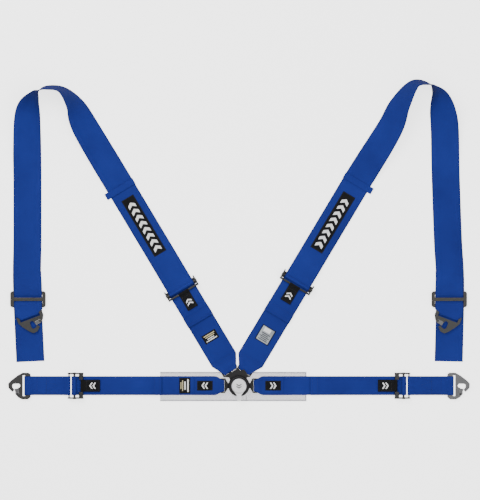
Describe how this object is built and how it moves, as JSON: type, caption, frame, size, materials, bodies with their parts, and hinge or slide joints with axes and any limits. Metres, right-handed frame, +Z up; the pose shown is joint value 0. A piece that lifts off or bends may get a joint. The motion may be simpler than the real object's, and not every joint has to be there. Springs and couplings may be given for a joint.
{
  "type": "racing harness",
  "caption": "Racing harness laid flat: wide shoulder straps and narrower lap straps with adjusters and snap hooks, joined at a rotary cam-lock buckle.",
  "frame": {"origin": "on the buckle's turning axis, at the underside of the backing sheet", "axes": "+Z up from the surface the harness lies on, +X along the lap straps, +Y towards the shoulder straps"},
  "size_m": [1.245, 0.8691, 0.0772],
  "materials": {
    "blue_webbing": "woven polyester",
    "black_fabric": "woven",
    "black_plastic": "moulded, satin",
    "black_steel": "black, worn edges",
    "dark_bronze": "satin",
    "hook_steel": "zinc plated",
    "inner_steel": "plain",
    "silver_handle": "satin anodised",
    "clear_film": "thin clear plastic"
  },
  "bodies": {
    "buckle": {"backing_sheet": "clear_film", "buckle_base": "black_plastic", "buckle_housing": "black_plastic", "housing_screws": "inner_steel", "latch_springs": "inner_steel", "right_lap_tongue": "black_plastic", "right_lap_strap": "blue_webbing"},
    "rotary_handle": {"handle": "silver_handle", "cam_rotor": "inner_steel"},
    "latch": {"latch_plate": "inner_steel"},
    "left_lap_belt": {"left_lap_tongue": "black_plastic", "left_lap_strap": "blue_webbing"},
    "left_lap_adjuster_set": {"left_lap_adjuster": "black_steel", "left_lap_anchor_strap": "blue_webbing"},
    "left_lap_bar": {"left_lap_lock_bar": "black_steel"},
    "left_lap_tail_end": {"left_lap_tail": "blue_webbing"},
    "left_lap_tab": {"left_lap_pull_tab": "black_fabric"},
    "left_lap_snap_hook": {"left_lap_hook_wrap": "blue_webbing", "left_lap_hook": "hook_steel", "left_lap_gate_rivet": "hook_steel"},
    "left_lap_hook_gate": {"left_lap_gate": "hook_steel"},
    "left_lower_belt": {"left_shoulder_tongue": "black_plastic", "left_lower_strap": "blue_webbing", "left_shoulder_adjuster": "black_steel"},
    "left_shoulder_bar": {"left_shoulder_lock_bar": "black_steel"},
    "left_shoulder_tab": {"left_shoulder_pull_tab": "black_fabric"},
    "left_upper_belt": {"left_front_run": "blue_webbing", "left_rear_run": "blue_webbing", "left_label": "black_fabric"},
    "left_keeper_band": {"left_keeper": "blue_webbing"},
    "left_slide_set": {"left_slide": "dark_bronze", "left_slide_loop": "blue_webbing"},
    "left_shoulder_snap_hook": {"left_shoulder_hook_wrap": "blue_webbing", "left_shoulder_hook": "hook_steel", "left_shoulder_gate_rivet": "hook_steel"},
    "left_shoulder_hook_gate": {"left_shoulder_gate": "hook_steel"},
    "right_lap_adjuster_set": {"right_lap_adjuster": "black_steel", "right_lap_anchor_strap": "blue_webbing"},
    "right_lap_bar": {"right_lap_lock_bar": "black_steel"},
    "right_lap_tail_end": {"right_lap_tail": "blue_webbing"},
    "right_lap_tab": {"right_lap_pull_tab": "black_fabric"},
    "right_lap_snap_hook": {"right_lap_hook_wrap": "blue_webbing", "right_lap_hook": "hook_steel", "right_lap_gate_rivet": "hook_steel"},
    "right_lap_hook_gate": {"right_lap_gate": "hook_steel"},
    "right_lower_belt": {"right_shoulder_tongue": "black_plastic", "right_lower_strap": "blue_webbing", "right_shoulder_adjuster": "black_steel"},
    "right_shoulder_bar": {"right_shoulder_lock_bar": "black_steel"},
    "right_shoulder_tab": {"right_shoulder_pull_tab": "black_fabric"},
    "right_upper_belt": {"right_front_run": "blue_webbing", "right_rear_run": "blue_webbing", "right_label": "black_fabric"},
    "right_keeper_band": {"right_keeper": "blue_webbing"},
    "right_slide_set": {"right_slide": "dark_bronze", "right_slide_loop": "blue_webbing"},
    "right_shoulder_snap_hook": {"right_shoulder_hook_wrap": "blue_webbing", "right_shoulder_hook": "hook_steel", "right_shoulder_gate_rivet": "hook_steel"},
    "right_shoulder_hook_gate": {"right_shoulder_gate": "hook_steel"}
  },
  "joints": [
    {"name": "handle_turn", "type": "hinge", "parent": "buckle", "child": "rotary_handle", "pos_m": [0, 0, 0.0195], "axis": [0, 0, 1], "range_deg": [0, 45], "stiffness_Nm_per_rad": 0.05},
    {"name": "latch_lift", "type": "slide", "parent": "buckle", "child": "latch", "axis": [0, 0, 1], "range_m": [0, 0.003], "deforming": ["latch_springs"]},
    {"name": "left_lap_release", "type": "slide", "parent": "buckle", "child": "left_lap_belt", "axis": [-1, 0, 0], "range_m": [0, 0.03]},
    {"name": "left_lap_adjust", "type": "slide", "parent": "left_lap_belt", "child": "left_lap_adjuster_set", "axis": [-1, 0, 0], "range_m": [-0.03, 0.03]},
    {"name": "left_lap_tail_run", "type": "slide", "parent": "left_lap_adjuster_set", "child": "left_lap_tail_end", "axis": [-1, 0, 0], "range_m": [-0.03, 0.03]},
    {"name": "left_lap_bar_slide", "type": "slide", "parent": "left_lap_adjuster_set", "child": "left_lap_bar", "axis": [-1, 0, 0], "range_m": [0, 0.0025]},
    {"name": "left_lap_tab_lift", "type": "hinge", "parent": "left_lap_adjuster_set", "child": "left_lap_tab", "pos_m": [-0.4235, 0, 0.011], "axis": [0, -1, 0], "range_deg": [0, 60]},
    {"name": "left_lap_hook_swing", "type": "hinge", "parent": "left_lap_adjuster_set", "child": "left_lap_snap_hook", "pos_m": [-0.5512, 0, 0.003], "axis": [0, 1, 0], "range_deg": [0, 60]},
    {"name": "left_lap_gate_swing", "type": "hinge", "parent": "left_lap_snap_hook", "child": "left_lap_hook_gate", "pos_m": [-0.5972, -0.0227, 0.0065], "axis": [0, 0, -1], "range_deg": [0, 22], "stiffness_Nm_per_rad": 0.02},
    {"name": "left_shoulder_release", "type": "slide", "parent": "buckle", "child": "left_lower_belt", "axis": [-0.5135, 0.8581, 0], "range_m": [0, 0.03]},
    {"name": "left_shoulder_bar_slide", "type": "slide", "parent": "left_lower_belt", "child": "left_shoulder_bar", "axis": [-0.5135, 0.8581, 0], "range_m": [0, 0.0025]},
    {"name": "left_shoulder_tab_lift", "type": "hinge", "parent": "left_lower_belt", "child": "left_shoulder_tab", "pos_m": [-0.14935, 0.25208, 0.012], "axis": [-0.8581, -0.5135, 0], "range_deg": [0, 60]},
    {"name": "left_shoulder_adjust", "type": "slide", "parent": "left_lower_belt", "child": "left_upper_belt", "axis": [-0.5135, 0.8581, 0], "range_m": [-0.03, 0.03]},
    {"name": "left_keeper_slide", "type": "slide", "parent": "left_upper_belt", "child": "left_keeper_band", "axis": [0.5135, -0.8581, 0], "range_m": [0, 0.04]},
    {"name": "left_slide_run", "type": "slide", "parent": "left_upper_belt", "child": "left_slide_set", "axis": [0, -1, 0], "range_m": [-0.04, 0.04]},
    {"name": "left_shoulder_hook_swing", "type": "hinge", "parent": "left_slide_set", "child": "left_shoulder_snap_hook", "pos_m": [-0.569, 0.209, 0.0106], "axis": [-1, 0, 0], "range_deg": [0, 60]},
    {"name": "left_shoulder_gate_swing", "type": "hinge", "parent": "left_shoulder_snap_hook", "child": "left_shoulder_hook_gate", "pos_m": [-0.53636, 0.17562, 0.0075], "axis": [0, 0, -1], "range_deg": [0, 22], "stiffness_Nm_per_rad": 0.02},
    {"name": "right_lap_adjust", "type": "slide", "parent": "buckle", "child": "right_lap_adjuster_set", "axis": [1, 0, 0], "range_m": [-0.03, 0.03]},
    {"name": "right_lap_tail_run", "type": "slide", "parent": "right_lap_adjuster_set", "child": "right_lap_tail_end", "axis": [1, 0, 0], "range_m": [-0.03, 0.03]},
    {"name": "right_lap_bar_slide", "type": "slide", "parent": "right_lap_adjuster_set", "child": "right_lap_bar", "axis": [1, 0, 0], "range_m": [0, 0.0025]},
    {"name": "right_lap_tab_lift", "type": "hinge", "parent": "right_lap_adjuster_set", "child": "right_lap_tab", "pos_m": [0.4235, 0, 0.011], "axis": [0, 1, 0], "range_deg": [0, 60]},
    {"name": "right_lap_hook_swing", "type": "hinge", "parent": "right_lap_adjuster_set", "child": "right_lap_snap_hook", "pos_m": [0.5512, 0, 0.003], "axis": [0, -1, 0], "range_deg": [0, 60]},
    {"name": "right_lap_gate_swing", "type": "hinge", "parent": "right_lap_snap_hook", "child": "right_lap_hook_gate", "pos_m": [0.5972, -0.0227, 0.0065], "axis": [0, 0, 1], "range_deg": [0, 22], "stiffness_Nm_per_rad": 0.02},
    {"name": "right_shoulder_release", "type": "slide", "parent": "buckle", "child": "right_lower_belt", "axis": [0.5135, 0.8581, 0], "range_m": [0, 0.03]},
    {"name": "right_shoulder_bar_slide", "type": "slide", "parent": "right_lower_belt", "child": "right_shoulder_bar", "axis": [0.5135, 0.8581, 0], "range_m": [0, 0.0025]},
    {"name": "right_shoulder_tab_lift", "type": "hinge", "parent": "right_lower_belt", "child": "right_shoulder_tab", "pos_m": [0.15045, 0.26891, 0.012], "axis": [-0.8581, 0.5135, 0], "range_deg": [0, 60]},
    {"name": "right_shoulder_adjust", "type": "slide", "parent": "right_lower_belt", "child": "right_upper_belt", "axis": [0.5135, 0.8581, 0], "range_m": [-0.03, 0.03]},
    {"name": "right_keeper_slide", "type": "slide", "parent": "right_upper_belt", "child": "right_keeper_band", "axis": [-0.5135, -0.8581, 0], "range_m": [0, 0.04]},
    {"name": "right_slide_run", "type": "slide", "parent": "right_upper_belt", "child": "right_slide_set", "axis": [0, -1, 0], "range_m": [-0.04, 0.04]},
    {"name": "right_shoulder_hook_swing", "type": "hinge", "parent": "right_slide_set", "child": "right_shoulder_snap_hook", "pos_m": [0.567, 0.209, 0.0106], "axis": [-1, 0, 0], "range_deg": [0, 60]},
    {"name": "right_shoulder_gate_swing", "type": "hinge", "parent": "right_shoulder_snap_hook", "child": "right_shoulder_hook_gate", "pos_m": [0.53636, 0.17492, 0.0075], "axis": [0, 0, 1], "range_deg": [0, 22], "stiffness_Nm_per_rad": 0.02}
  ],
  "couplings": [
    {"joint": "latch_lift", "follows": "handle_turn", "m_per_rad": 0.0038197},
    {"joint": "left_lap_tail_run", "follows": "left_lap_adjust", "ratio": 1},
    {"joint": "right_lap_tail_run", "follows": "right_lap_adjust", "ratio": 1}
  ]
}
